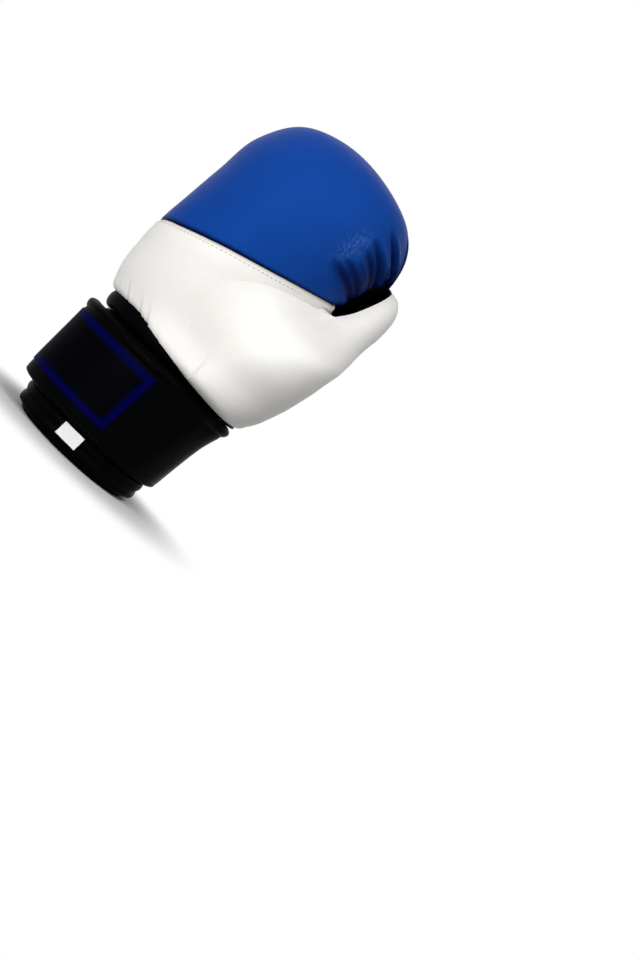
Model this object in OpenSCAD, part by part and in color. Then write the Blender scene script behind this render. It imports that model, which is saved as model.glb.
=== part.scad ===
// Padded hook-and-loop boxing glove for the left hand, standing on its cuff rim.
// Z runs from the rim to the fingers, the back of the hand faces -Y, the thumb is on +X.

/* [Overall] */
// length from the cuff rim to the crown of the fist
glove_l = 252; // [225:1:280]
// height of the cuff up to the hand
cuff_l = 86; // [78:1:94]
// share of the hand's height at which the fist is fullest
full_share = 0.6; // [0.55:0.01:0.65]

/* [Fist] */
// middle of the back of the hand to the fullest point of the back
fist_back = 56; // [50:1:62]
// middle plane to the fullest point of the rolled fingers
fist_palm = 84; // [76:1:92]
// middle plane to the little finger's side
fist_pinky = 57; // [52:1:62]
// middle plane to the thumb's side above the thumb
fist_thumb = 64; // [58:1:70]
// how far the crown lies towards the palm
crown_y = 12; // [8:1:16]
// how far the crown lies towards the thumb
crown_x = 2; // [0:0.5:4]

/* [Wrist] */
// width of the hand where it meets the cuff
wrist_w = 106; // [98:1:114]
// depth of the hand where it meets the cuff
wrist_d = 82; // [76:1:88]
// depth of the palm at the crease below the rolled fingers
crease_y = 46; // [42:1:50]

/* [Layers] */
// outer leather
leather_t = 2; // [1.5:0.1:2.5]
// lining of the hand and cuff
lining_t = 1.2; // [0.8:0.1:1.6]
// clearance between two layers
layer_gap = 0.2; // [0.15:0.05:0.3]
// clearance where two panels meet at a seam
seam_gap = 0.3; // [0.2:0.05:0.5]
// padding over the knuckles, leather included
knuckle_pad = 28; // [24:1:32]
// padding over the crown of the fist, leather included
crown_pad = 32; // [28:1:36]
// padding at the wrist end of the hand, leather included
wrist_pad = 13; // [11:1:15]

/* [Grip bar] */
// radius of the padded bar in the palm
grip_r = 6; // [5:0.5:7]
// half of the arc that the bar covers, in degrees
grip_arc = 40; // [30:10:50]
// clearance between the bar and the lining
grip_gap = 0.6; // [0.5:0.1:0.8]

/* [Thumb] */
// fullest height of the thumb above the hand
thumb_h = 32; // [28:1:36]
// half of the thumb's width at its middle, in degrees round the hand
thumb_arc = 34; // [30:1:38]
// depth of the thumb's sewn edge
thumb_edge = 5; // [4.6:0.1:6]
// clearance between the thumb and the hand
thumb_gap = 1.6; // [1.4:0.1:2]
// clearance between the thumb heel and the hand
heel_gap = 0.6; // [0.5:0.1:0.8]
// clearance at the thumb's flex line
flex_gap = 0.5; // [0.4:0.1:0.8]
// inner face of the thumb
thumb_in_t = 1.2; // [1:0.1:1.5]

/* [Cuff] */
// half width of the cuff at the rim
cuff_a0 = 41; // [38:0.5:44]
// half width of the cuff under the hand
cuff_a1 = 48; // [45:0.5:51]
// half depth of the cuff at the rim
cuff_b0 = 41; // [38:0.5:44]
// half depth of the cuff under the hand
cuff_b1 = 40; // [37:0.5:43]
// how far the cuff leans towards the thumb at its top
cuff_lean = 3.5; // [2:0.5:5]
// how far the cuff leans towards the palm at its rim
cuff_palm = 3; // [1:0.5:5]
// wall of the cuff, with leather, padding and lining
cuff_wall = 11; // [9:0.5:13]
// height of the flat binding at the rim
hem_h = 3; // [2:0.5:4]
// height of one padded roll below the strap
roll_h = 6.5; // [6:0.5:8]
// how far a padded roll stands out
roll_out = 4; // [3:0.5:5]
// height of the band between strap and hand
band_h = 8; // [6:0.5:9]
// how far the band stands out
band_out = 4; // [3:0.5:5]
// half of the slit in the palm side, in degrees
slit_half = 8; // [6:1:10]
// elastic panel in the slit
elastic_t = 2; // [1.5:0.1:2.5]

/* [Strap] */
// clearance between the padded rolls and the strap
strap_low = 1; // [0.5:0.5:3]
// clearance between the strap and the band above it
strap_high = 1; // [0.5:0.5:3]
// one layer of hook or loop tape
tape_t = 1.2; // [1:0.1:1.5]
// clearance between the closed tapes
tape_gap = 0.3; // [0.25:0.05:0.4]
// foam core of the strap
core_t = 2; // [1.5:0.1:2.5]
// how far the strap's padded edges stand out
edge_out = 1.4; // [1:0.1:2]
// height of one padded edge
edge_h = 8; // [7:0.5:9]
// direction of the sewn end, in degrees round the cuff
anchor_deg = 105; // [100:1:110]
// arc of the sewn tab under the strap's end, in degrees
anchor_arc = 24; // [16:1:32]
// direction of the bend in front of the closing end, in degrees
bend_deg = -62; // [-66:1:-58]
// direction of the closing end, in degrees
end_deg = -165; // [-170:1:-158]
// thickness of the plain badge on the closing end
badge_t = 1.2; // [0.8:0.1:1.6]

/* [Tag] */
// width of the size tag
tag_w = 15; // [12:0.5:18]
// height of the size tag
tag_h = 8.6; // [7:0.2:10]
// thickness of the size tag
tag_t = 0.6; // [0.4:0.1:1]
// drop from the strap's lower edge to the tag's hinge
tag_drop = 1.2; // [1:0.1:2]
// how far the size tag lies towards the thumb
tag_x = 3.5; // [-10:0.5:10]

/* [Part] */

/* [Hidden] */
hand_l = glove_l - cuff_l;
// columns round the hand
col = 10;
// rows below and above the seam of the knuckle panel
low_n = 7;
top_n = 8;
// directions of the seams between the lower panels
seat_v0 = -25;
seat_v1 = 45;
pinky_v = 155;
// half a seam, in degrees on the fist
seam_v = seam_gap / 2 / fist_back * 57.3;
// share of a row that half a seam takes
seam_u = seam_gap / 2 / (hand_l / 2);
// place along the thumb where its tip starts to round off
tip_p = 0.74;
// place of the flex line along the thumb
flex_p = 0.33;
flex_dp = flex_gap / hand_l * 1.5;
// hand height on the rails
function hz(f) = cuff_l + hand_l * f;
// shift of the fullest level
fz = full_share - 0.6;

// rails of the fist, from the wrist to the crown
back_rail = [[-wrist_d / 2 + 1, cuff_l], [-0.83 * fist_back, hz(0.11)], [-0.92 * fist_back, hz(0.22)],
  [-0.97 * fist_back, hz(0.33)], [-fist_back, hz(0.435 + fz)], [-fist_back, hz(0.59 + fz)],
  [-0.875 * fist_back, hz(0.77 + fz)], [-0.47 * fist_back, hz(0.933)], [crown_y, glove_l]];
palm_rail = [[wrist_d / 2 + 1, cuff_l], [crease_y, hz(0.096)], [crease_y - 1, hz(0.205)],
  [crease_y, hz(0.29)], [(crease_y + fist_palm) / 2, hz(0.335)], [fist_palm, hz(0.485 + fz)],
  [fist_palm, hz(0.71 + fz)], [0.66 * fist_palm, hz(0.928)], [crown_y, glove_l]];
pinky_rail = [[crown_x - wrist_w / 2, cuff_l], [-0.995 * fist_pinky, hz(0.11)],
  [-1.005 * fist_pinky, hz(0.22)], [-0.995 * fist_pinky, hz(0.33)],
  [-fist_pinky, hz(0.435 + fz)], [-fist_pinky, hz(0.59 + fz)],
  [-0.966 * fist_pinky, hz(0.77 + fz)], [-0.663 * fist_pinky, hz(0.933)], [crown_x, glove_l]];
thumb_rail = [[crown_x + wrist_w / 2, cuff_l], [0.81 * fist_thumb, hz(0.11)], [0.77 * fist_thumb, hz(0.22)],
  [0.75 * fist_thumb, hz(0.33)], [0.78 * fist_thumb, hz(0.435 + fz)], [0.936 * fist_thumb, hz(0.59 + fz)],
  [1.009 * fist_thumb, hz(0.77 + fz)], [0.778 * fist_thumb, hz(0.933)], [crown_x, glove_l]];

// smooth curve through four points
function spline(a, b, c, d, f) =
  0.5 * (2 * b + (c - a) * f + (2 * a - 5 * b + 4 * c - d) * f * f + (3 * b - 3 * c + d - a) * f * f * f);
// point on a rail, which runs over the crown into the opposite one
function rail(line, opposite, t) =
  let (n = len(line) - 1)
  let (s = min(max(t, 0), 1) * n)
  let (i = min(floor(s), n - 1))
  let (a = i > 0 ? line[i - 1] : 2 * line[0] - line[1])
  let (d = i + 2 <= n ? line[i + 2] : opposite[n - 1])
  spline(a, line[i], line[i + 1], d, s - i);
// outer face of the hand at height share t and direction v
function hand(t, v) =
  let (b = rail(back_rail, palm_rail, t))
  let (p = rail(palm_rail, back_rail, t))
  let (k = rail(pinky_rail, thumb_rail, t))
  let (m = rail(thumb_rail, pinky_rail, t))
  let (c = cos(v))
  let (s = sin(v))
  [(m[0] + k[0]) / 2 + (m[0] - k[0]) / 2 * c,
   (p[0] + b[0]) / 2 + (p[0] - b[0]) / 2 * s,
   (c > 0 ? m[1] : k[1]) * c * c + (s > 0 ? p[1] : b[1]) * s * s];

// hand pocket as a smaller copy of the outer face
pocket_wrist = 1 - wrist_pad / (wrist_d / 2);
pocket_fist = 1 - knuckle_pad / (fist_back + crown_y);
pocket_z = 1 - crown_pad / hand_l;
function pocket(p, t) =
  let (f = min(1, 2 * t))
  let (k = pocket_wrist + (pocket_fist - pocket_wrist) * f)
  [crown_x + (p[0] - crown_x) * k,
   crown_y * f + (p[1] - crown_y * f) * k,
   cuff_l + (p[2] - cuff_l) * pocket_z];

// smooth look-up in a short list of [place, value]
function slope(tab, i) =
  let (a = max(i - 1, 0))
  let (b = min(i + 1, len(tab) - 1))
  (tab[b][1] - tab[a][1]) / (tab[b][0] - tab[a][0]);
function step_of(tab, x, i = 0) = i >= len(tab) - 2 || x <= tab[i + 1][0] ? i : step_of(tab, x, i + 1);
function smooth(tab, x) =
  let (i = step_of(tab, x))
  let (h = tab[i + 1][0] - tab[i][0])
  let (f = (x - tab[i][0]) / h)
  let (g = 1 - f)
  tab[i][1] * (1 + 2 * f) * g * g + tab[i + 1][1] * (3 - 2 * f) * f * f
  + h * f * g * (slope(tab, i) * g - slope(tab, i + 1) * f);

// seam of the knuckle panel: along the back, up beside the thumb, down to the palm crease
seam_list = [[-90, 0.437], [-60, 0.505], [-25, 0.562], [-14, 0.665], [5, 0.722], [40, 0.61], [80, 0.43],
  [120, 0.39], [180, 0.335], [230, 0.365], [270, 0.437], [300, 0.505], [335, 0.562], [346, 0.665],
  [365, 0.722]];
function seam(v) = smooth(seam_list, v < -90 ? v + 360 : v);
// height share of row u: 0 at the wrist, 1 on the seam, 2 on the crown
function level(u, v) = u < 1 ? seam(v) * u : seam(v) + (1 - seam(v)) * (u - 1);
// point at depth w below the outer face, and beyond the pocket face by e if w is undefined
function layer(u, v, w, e) =
  let (t = level(u, v))
  let (p = hand(t, v))
  let (k = pocket(p, t))
  let (d = norm(k - p))
  p + (k - p) * (is_undef(w) ? d + e : w) / d;

low_rows = [for (i = [0 : low_n]) i / low_n];
top_rows = [for (i = [0 : top_n - 1]) 1 + i / top_n];
// rows and columns drawn in by half a seam at their free ends
function drawn(list, a, b) =
  [for (i = [0 : len(list) - 1]) list[i] + (i == 0 ? a : 0) - (i == len(list) - 1 ? b : 0)];
round_v = [for (v = [seat_v0 : col : seat_v0 + 359]) v];
function side_v(a, b) = drawn([for (v = [a : col : b]) v], seam_v, seam_v);

// closed solid between two grids of points
module slab(outer, inner, ring = false, cap = []) {
  n = len(outer);
  m = len(outer[0]);
  q = n * m;
  k = ring ? m : m - 1;
  pts = concat([for (r = outer) each r], [for (r = inner) each r], cap);
  faces = concat(
    [for (r = [0 : n - 2], c = [0 : k - 1])
      let (a = r * m + c, b = r * m + (c + 1) % m)
      each [[a, a + m, b + m], [a, b + m, b], [q + a, q + b + m, q + a + m], [q + a, q + b, q + b + m]]],
    [for (c = [0 : k - 1])
      let (b = (c + 1) % m)
      each [[c, b, q + b], [c, q + b, q + c]]],
    [for (c = [0 : k - 1])
      let (a = (n - 1) * m + c, b = (n - 1) * m + (c + 1) % m)
      each len(cap) == 0
        ? [[b, a, q + b], [a, q + a, q + b]]
        : [[a, 2 * q, b], [q + a, q + b, 2 * q + 1]]],
    ring ? [] : [for (r = [0 : n - 2])
      let (a = r * m, b = r * m + m - 1)
      each [[a + m, a, q + a], [a + m, q + a, q + a + m], [b, b + m, q + b], [b + m, q + b + m, q + b]]]
  );
  polyhedron(points = pts, faces = faces);
}

// leather panel or foam block of the hand over the given rows and columns
module skin(rows, cols, ring, crown) {
  outer = [for (u = rows) [for (v = cols) layer(u, v, 0)]];
  inner = [for (u = rows) [for (v = cols) layer(u, v, leather_t)]];
  slab(outer, inner, ring, crown ? [layer(2, 0, 0), layer(2, 0, leather_t)] : []);
}
module pad(rows, cols, ring, crown) {
  w = leather_t + layer_gap;
  outer = [for (u = rows) [for (v = cols) layer(u, v, w)]];
  inner = [for (u = rows) [for (v = cols) layer(u, v, undef, -layer_gap)]];
  slab(outer, inner, ring, crown ? [layer(2, 0, w), layer(2, 0, undef, -layer_gap)] : []);
}
low_part = drawn(low_rows, 0, seam_u);
top_part = drawn(top_rows, seam_u, 0);

module knuckle_panel() color("royalblue") skin(top_part, round_v, true, true);
module back_panel() color("ivory") skin(low_part, side_v(pinky_v, seat_v0 + 360), false, false);
module palm_panel() color("black") skin(low_part, side_v(seat_v1, pinky_v), false, false);
module thumb_seat_panel() color("black") skin(low_part, side_v(seat_v0, seat_v1), false, false);
module knuckle_foam() color("gray") pad(top_part, round_v, true, true);
module back_foam() color("gray") pad(low_part, side_v(pinky_v, seat_v0 + 360), false, false);
module palm_foam() color("gray") pad(low_part, side_v(seat_v1, pinky_v), false, false);
module thumb_seat_foam() color("gray") pad(low_part, side_v(seat_v0, seat_v1), false, false);

module hand_lining() color("dimgray") {
  rows = concat(low_rows, [for (i = [1 : top_n - 1]) 1 + i / top_n]);
  outer = [for (u = rows) [for (v = round_v) layer(u, v, undef, 0)]];
  inner = [for (u = rows) [for (v = round_v) layer(u, v, undef, lining_t)]];
  slab(outer, inner, true, [layer(2, 0, undef, 0), layer(2, 0, undef, lining_t)]);
}

// padded bar along the palm crease, closed at both ends, and its place between wrist and seam
grip_u = 0.72;
module grip_bar() color("gray") {
  n = 10;
  e = lining_t + grip_gap + grip_r;
  arc_v = [for (v = [90 - grip_arc : col : 90 + grip_arc]) v];
  path = [for (v = arc_v) layer(grip_u, v, undef, e)];
  deep = [for (v = arc_v) layer(grip_u, v, undef, e + 1)];
  m = len(path);
  pts = [for (i = [0 : m - 1], k = [0 : n - 1])
    let (d = deep[i] - path[i], a = 360 * k / n)
    path[i] + grip_r * (cos(a) * d + sin(a) * [0, -d[2], norm([d[0], d[1]])])];
  faces = concat(
    [for (i = [0 : m - 2], k = [0 : n - 1])
      let (a = i * n + k, b = i * n + (k + 1) % n)
      each [[a, b, b + n], [a, b + n, a + n]]],
    [for (k = [1 : n - 2]) [0, k + 1, k]],
    [for (k = [1 : n - 2]) [(m - 1) * n, (m - 1) * n + k, (m - 1) * n + k + 1]]
  );
  polyhedron(points = pts, faces = faces);
}

// thumb: a pillow over the side of the hand, p along it and q across it
thumb_mid = [[0, -24], [0.3, -16], [0.6, -2], [0.8, 7], [1, 9]];
thumb_span = [[0, 1.2], [0.3, 1.05], [0.6, 0.72], [0.8, 0.52], [1, 0.48]];
thumb_rise = [[0, 0.12], [0.1, 0.54], [0.3, 0.93], [0.5, 1.09], [0.65, 0.95], [0.8, 0.67], [1, 0.65]];
thumb_top = 0.735;
function tip(p) = p < tip_p ? 1 : sqrt(max(0, 1 - pow((p - tip_p) / (1 - tip_p), 2)));
function thumb_base(p, q) =
  let (half = thumb_arc * smooth(thumb_span, p) * tip(p))
  hand(thumb_top * p, smooth(thumb_mid, p) + q * half);
// point on the pillow at height h above the hand
function pillow(p, q, h) =
  let (b = thumb_base(p, q))
  let (d = [b[0] - crown_x, b[1] - crown_y, 0])
  b + d / norm(d) * h;
function rise(p, q) =
  let (full = thumb_h * smooth(thumb_rise, p) * pow(tip(p), 0.8))
  thumb_edge + full * sqrt(max(0, 1 - q * q));
across = [for (a = [-90 : 15 : 90]) sin(a)];
thumb_rows = [0, 0.16, 0.32, 0.48, 0.62, 0.74, 0.84, 0.91, 0.96, 0.985];
thumb_p = [for (f = thumb_rows) flex_p + (1 - flex_p) * f];
heel_low = 0.015;
heel_p = [for (f = [0, 0.12, 0.3, 0.55, 0.8, 1]) heel_low + (flex_p - flex_dp - heel_low) * f];
// layer of the pillow between a height above the hand and a depth below the pillow's top
module pillow_layer(rows, gap, low, deep) {
  thin = is_undef(deep);
  outer = [for (p = rows)
    [for (q = across) pillow(p, q, gap + (thin ? low + thumb_in_t : rise(p, q) - deep))]];
  inner = [for (p = rows) [for (q = across) pillow(p, q, gap + low)]];
  slab(outer, inner);
}
module pillow_skin(rows, gap) {
  outer = [for (p = rows) [for (q = across) pillow(p, q, gap + rise(p, q))]];
  inner = [for (p = rows) [for (q = across) pillow(p, q, gap + rise(p, q) - leather_t)]];
  slab(outer, inner);
}
module thumb_panel() color("ivory") pillow_skin(thumb_p, thumb_gap);
module thumb_foam() color("gray")
  pillow_layer(thumb_p, thumb_gap, thumb_in_t + layer_gap, leather_t + layer_gap);
module thumb_inner_panel() color("ivory") pillow_layer(thumb_p, thumb_gap, 0);
module thumb_heel_panel() color("ivory") pillow_skin(heel_p, heel_gap);
module thumb_heel_foam() color("gray") pillow_layer(heel_p, heel_gap, 0, leather_t + layer_gap);

// cuff: an oval tube that widens towards the hand
function cuff_at(z) = min(max(z / cuff_l, 0), 1);
function cuff(z, v, g) =
  let (f = cuff_at(z))
  [cuff_lean * f + (cuff_a0 + (cuff_a1 - cuff_a0) * f + g) * cos(v),
   cuff_palm * (1 - f) + (cuff_b0 + (cuff_b1 - cuff_b0) * f + g) * sin(v), z];
// face of the cuff with its padded rolls
function roll(z) =
  z < hem_h + 2 * roll_h ? roll_out * sqrt(abs(sin(180 * (z - hem_h) / roll_h))) : 0;
cuff_low = hem_h + layer_gap;
band_low = cuff_l - band_h;
cuff_top = band_low - layer_gap;
roll_rows = [for (k = [0, 1], f = [0.02, 0.12, 0.3, 0.5, 0.7, 0.88, 0.98]) hem_h + roll_h * (k + f)];
plain_low = hem_h + 2 * roll_h + layer_gap;
plain_rows = [for (i = [0 : 4]) plain_low + (cuff_top - plain_low) * i / 4];
cuff_rows = concat(roll_rows, plain_rows);
open_v = concat([90 + slit_half], [for (v = [100 : col : 440]) v], [450 - slit_half]);
module cuff_layer(rows, cols, ring, go, gi) {
  outer = [for (z = rows) [for (v = cols) cuff(z, v, go)]];
  inner = [for (z = rows) [for (v = cols) cuff(z, v, gi)]];
  slab(outer, inner, ring);
}
module cuff_cover() color("black") {
  outer = [for (z = cuff_rows) [for (v = open_v) cuff(z, v, roll(z))]];
  inner = [for (z = cuff_rows) [for (v = open_v) cuff(z, v, -leather_t)]];
  slab(outer, inner);
}
foam_rows = [cuff_low, cuff_top];
module cuff_foam() color("gray")
  cuff_layer(foam_rows, open_v, false, -leather_t - layer_gap, lining_t + layer_gap - cuff_wall);
module cuff_lining() color("dimgray")
  cuff_layer(foam_rows, round_v, true, lining_t - cuff_wall, -cuff_wall);
// round band between strap and hand
band_rows = [0, 0.12, 0.35, 0.65, 0.88, 1];
function band(f) = band_out * sqrt(max(0.04, sin(180 * f)));
module wrist_band() color("black") {
  high = band_h - layer_gap;
  outer = [for (f = band_rows) [for (v = round_v) cuff(band_low + high * f, v, band(f))]];
  inner = [for (f = band_rows) [for (v = round_v) cuff(band_low + high * f, v, -cuff_wall)]];
  slab(outer, inner, true);
}
module cuff_hem() color("black")
  linear_extrude(hem_h)
    difference() {
      polygon([for (v = [0 : 6 : 359]) [for (i = [0, 1]) cuff(0, v, -1)[i]]]);
      polygon([for (v = [0 : 6 : 359]) [for (i = [0, 1]) cuff(0, v, -cuff_wall)[i]]]);
    }
module elastic_gusset() color("dimgray")
  cuff_layer(foam_rows, [for (i = [-1 : 0.5 : 1]) 90 + i * (slit_half - 0.4)], false,
    lining_t + layer_gap + elastic_t - cuff_wall, lining_t + layer_gap - cuff_wall);

// closure: tapes on the cuff, strap in two lengths over them
strap_z = hem_h + 2 * roll_h + strap_low;
strap_top = band_low - strap_high;
tape_low = strap_z + edge_h;
tape_top = strap_top - edge_h;
loop_g = layer_gap;
strap_g = loop_g + tape_t + tape_gap;
core_g = strap_g + tape_t + layer_gap;
cover_g = core_g + core_t + layer_gap;
badge_g = cover_g + leather_t + layer_gap;
// clearance at the bend between the two lengths, in degrees
bend_gap = 0.8;
function arc(a, b) = [for (i = [0 : ceil(abs(b - a) / col)]) a + (b - a) * i / ceil(abs(b - a) / col)];
wrap_v = arc(bend_deg + bend_gap, anchor_deg);
end_arc = arc(end_deg, bend_deg - bend_gap);
strap_rows = [strap_z, strap_top];
edge_rows = [for (f = [0, 0.2, 0.5, 0.8, 1]) strap_z + edge_h * f];
cover_rows = concat(edge_rows, [for (i = [4 : -1 : 0]) strap_z + strap_top - edge_rows[i]]);
function edge_rise(z) =
  let (d = min(z - strap_z, strap_top - z))
  d >= edge_h ? 0 : edge_out * sqrt(max(0, sin(180 * d / edge_h)));
module strap_cover(cols) {
  outer = [for (z = cover_rows) [for (v = cols) cuff(z, v, cover_g + leather_t + edge_rise(z))]];
  inner = [for (z = cover_rows) [for (v = cols) cuff(z, v, cover_g)]];
  slab(outer, inner);
}
module loop_tape() color("dimgray")
  cuff_layer([tape_low, tape_top], arc(end_deg, bend_deg), false, loop_g + tape_t, loop_g);
// arc from the strap's sewn end to the tab under it
anchor_in = 2;
module strap_anchor() color("black")
  cuff_layer([tape_low, tape_top], arc(anchor_deg - anchor_arc, anchor_deg - anchor_in), false,
    loop_g + tape_t, loop_g);
module strap_wrap_cover() color("black") strap_cover(wrap_v);
module strap_wrap_core() color("gray") cuff_layer(strap_rows, wrap_v, false, core_g + core_t, core_g);
module strap_wrap_lining() color("black") cuff_layer(strap_rows, wrap_v, false, strap_g + tape_t, strap_g);
module strap_end_cover() color("black") strap_cover(end_arc);
module strap_end_core() color("gray") cuff_layer(strap_rows, end_arc, false, core_g + core_t, core_g);
module hook_tape() color("dimgray") cuff_layer(strap_rows, end_arc, false, strap_g + tape_t, strap_g);
// margins of the badge: at the strap's tip, at the bend, and above and below
badge_tip = 8;
badge_bend = 12;
badge_edge = 0.5;
module strap_badge() color("midnightblue")
  cuff_layer([tape_low + badge_edge, tape_top - badge_edge], arc(end_deg + badge_tip, bend_deg - badge_bend),
    false, badge_g + badge_t, badge_g);

// size tag on the rolls below the strap
tag_top = strap_z - tag_drop;
tag_y = min([for (k = [0.5, 1.5]) cuff(hem_h + k * roll_h, -90, roll_out + tape_gap)[1]]);
module size_tag() color("white")
  translate([tag_x - tag_w / 2, tag_y - tag_t, tag_top - tag_h])
    cube([tag_w, tag_t, tag_h]);

knuckle_panel();
back_panel();
palm_panel();
thumb_seat_panel();
knuckle_foam();
back_foam();
palm_foam();
thumb_seat_foam();
grip_bar();
hand_lining();
thumb_heel_panel();
thumb_heel_foam();
wrist_band();
cuff_cover();
cuff_foam();
cuff_lining();
cuff_hem();
elastic_gusset();
loop_tape();
strap_anchor();
strap_wrap_cover();
strap_wrap_core();
strap_wrap_lining();
strap_end_cover();
strap_end_core();
hook_tape();
strap_badge();
thumb_panel();
thumb_foam();
thumb_inner_panel();
size_tag();
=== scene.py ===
# %% [markdown]
# # A boxing glove
# A boxing glove is a padded fist of sewn leather panels on a soft cuff that a strap closes. The
# CAD model gives the frame: its bodies and joints move the glove, and its solids say where each
# piece is. This lesson dresses that frame, piece by piece, with leather, cloth and thread.

# %% Load the frame
import math

import bpy
import numpy as np
from mathutils import Matrix, Vector


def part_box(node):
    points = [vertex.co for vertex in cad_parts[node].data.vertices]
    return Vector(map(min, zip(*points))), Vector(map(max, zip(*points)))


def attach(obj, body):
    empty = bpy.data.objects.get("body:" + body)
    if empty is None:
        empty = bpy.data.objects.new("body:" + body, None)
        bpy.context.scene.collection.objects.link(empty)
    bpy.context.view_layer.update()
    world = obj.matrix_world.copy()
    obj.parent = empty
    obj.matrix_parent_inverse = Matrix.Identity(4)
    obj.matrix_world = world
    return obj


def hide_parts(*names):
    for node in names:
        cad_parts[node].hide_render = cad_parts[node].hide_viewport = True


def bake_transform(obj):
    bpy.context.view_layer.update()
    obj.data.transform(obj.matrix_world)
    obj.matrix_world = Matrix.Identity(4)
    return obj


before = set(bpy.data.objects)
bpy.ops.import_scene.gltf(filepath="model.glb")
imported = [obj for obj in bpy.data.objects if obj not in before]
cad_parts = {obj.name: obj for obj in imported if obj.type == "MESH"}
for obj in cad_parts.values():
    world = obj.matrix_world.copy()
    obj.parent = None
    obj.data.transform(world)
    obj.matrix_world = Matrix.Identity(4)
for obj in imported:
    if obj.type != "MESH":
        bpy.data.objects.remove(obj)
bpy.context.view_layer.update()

MM = 0.001

# %% [markdown]
# ## The form of the fist
# Four rails run from the wrist to the crown: along the back, the palm, the little finger's side
# and the thumb's side. An oval through the four points at one height gives the fist's face there.
# The fist could be sculpted by hand. It is worked out from the CAD model's own numbers instead,
# in millimetres, so that every panel lands where its solid is.

# %% Rails of the fist
GLOVE_L, CUFF_L = 252.0, 86.0
HAND_L = GLOVE_L - CUFF_L
BACK, PALM, PINKY, THUMB = 56.0, 84.0, 57.0, 64.0
CROWN_X, CROWN_Y = 2.0, 12.0
WRIST_W, WRIST_D, WRIST_Y = 106.0, 82.0, 1.0
CREASE = 46.0

# Heights of the rails' points as shares of the hand, and offsets as shares of the fist's reach.
SHARES = [0, 0.11, 0.22, 0.33, 0.435, 0.59, 0.77, 0.933, 1]
PALM_SHARES = [0, 0.096, 0.205, 0.29, 0.335, 0.485, 0.71, 0.928, 1]
BACK_FORM = [0.83, 0.92, 0.97, 1, 1, 0.875, 0.47]
PINKY_FORM = [0.995, 1.005, 0.995, 1, 1, 0.966, 0.663]
THUMB_FORM = [0.81, 0.77, 0.75, 0.78, 0.936, 1.009, 0.778]
PALM_TOP = 0.66


def make_rail(offsets, shares):
    """Points [offset, height] of one rail, its heights given as shares of the hand."""
    return np.array([[o, CUFF_L + HAND_L * s] for o, s in zip(offsets, shares)])


back_rail = make_rail([WRIST_Y - WRIST_D / 2, *(-BACK * f for f in BACK_FORM), CROWN_Y], SHARES)
palm_rail = make_rail([WRIST_Y + WRIST_D / 2, CREASE, CREASE - 1, CREASE, (CREASE + PALM) / 2,
                       PALM, PALM, PALM_TOP * PALM, CROWN_Y], PALM_SHARES)
pinky_rail = make_rail([CROWN_X - WRIST_W / 2, *(-PINKY * f for f in PINKY_FORM), CROWN_X], SHARES)
thumb_rail = make_rail([CROWN_X + WRIST_W / 2, *(THUMB * f for f in THUMB_FORM), CROWN_X], SHARES)
print("four rails of", len(SHARES), "points")


# %% The oval between the rails
def cos_deg(v):
    """Cosine of an angle in degrees."""
    return np.cos(np.radians(v))


def sin_deg(v):
    """Sine of an angle in degrees."""
    return np.sin(np.radians(v))


def unit(vectors):
    """The same directions at length 1."""
    return vectors / np.linalg.norm(vectors, axis=1, keepdims=True)


def along(rail, opposite, t):
    """Point on a rail at share t. Past the crown the curve runs on into the opposite rail."""
    n = len(rail) - 1
    s = np.clip(t, 0, 1) * n
    i = np.minimum(s.astype(int), n - 1)
    ends = np.vstack([2 * rail[0] - rail[1], rail, opposite[n - 1]])
    a, b, c, d = (ends[i + k] for k in range(4))
    f = (s - i)[:, None]
    return 0.5 * (2 * b + (c - a) * f + (2 * a - 5 * b + 4 * c - d) * f**2
                  + (3 * b - 3 * c + d - a) * f**3)


def hand(t, v):
    """Outer face of the fist at height share t. The angle v is 0 at the thumb, 90 at the palm,
    180 at the little finger and 270 at the back."""
    b, p = along(back_rail, palm_rail, t), along(palm_rail, back_rail, t)
    k, m = along(pinky_rail, thumb_rail, t), along(thumb_rail, pinky_rail, t)
    c, s = cos_deg(v), sin_deg(v)
    x = (m[:, 0] + k[:, 0]) / 2 + (m[:, 0] - k[:, 0]) / 2 * c
    y = (p[:, 0] + b[:, 0]) / 2 + (p[:, 0] - b[:, 0]) / 2 * s
    z = np.where(c > 0, m[:, 1], k[:, 1]) * c * c + np.where(s > 0, p[:, 1], b[:, 1]) * s * s
    return np.stack([x, y, z], 1)


def outward(point):
    """Level direction from the axis of the fist to each point."""
    out = point - [CROWN_X, CROWN_Y, 0]
    out[:, 2] = 0
    return unit(out)


print("crown at", hand(np.array([1.0]), np.array([0.0]))[0])

# %% [markdown]
# ## The knuckle seam
# One seam runs round the fist, parts the blue leather from the lower panels, and rises to the
# notch beside the thumb. It could be drawn as a curve and cut into a mesh. A table of angles and
# heights does as well, and the rows of points in each panel then follow the seam exactly.


# %% The seam that parts the knuckles from the lower panels
def ease(x, low, high):
    """Smooth step from 0 at low to 1 at high."""
    f = np.clip((x - low) / (high - low), 0, 1)
    return f * f * (3 - 2 * f)


def smooth(table, x):
    """Smooth look-up in a short list of (place, value)."""
    place, value = np.array(table).T
    n = len(place)
    before, after = np.maximum(np.arange(n) - 1, 0), np.minimum(np.arange(n) + 1, n - 1)
    slope = (value[after] - value[before]) / (place[after] - place[before])
    i = np.clip(np.searchsorted(place, x, side="left") - 1, 0, n - 2)
    h = place[i + 1] - place[i]
    f = (x - place[i]) / h
    g = 1 - f
    return (value[i] * (1 + 2 * f) * g * g + value[i + 1] * (3 - 2 * f) * f * f
            + h * f * g * (slope[i] * g - slope[i + 1] * f))


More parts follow.
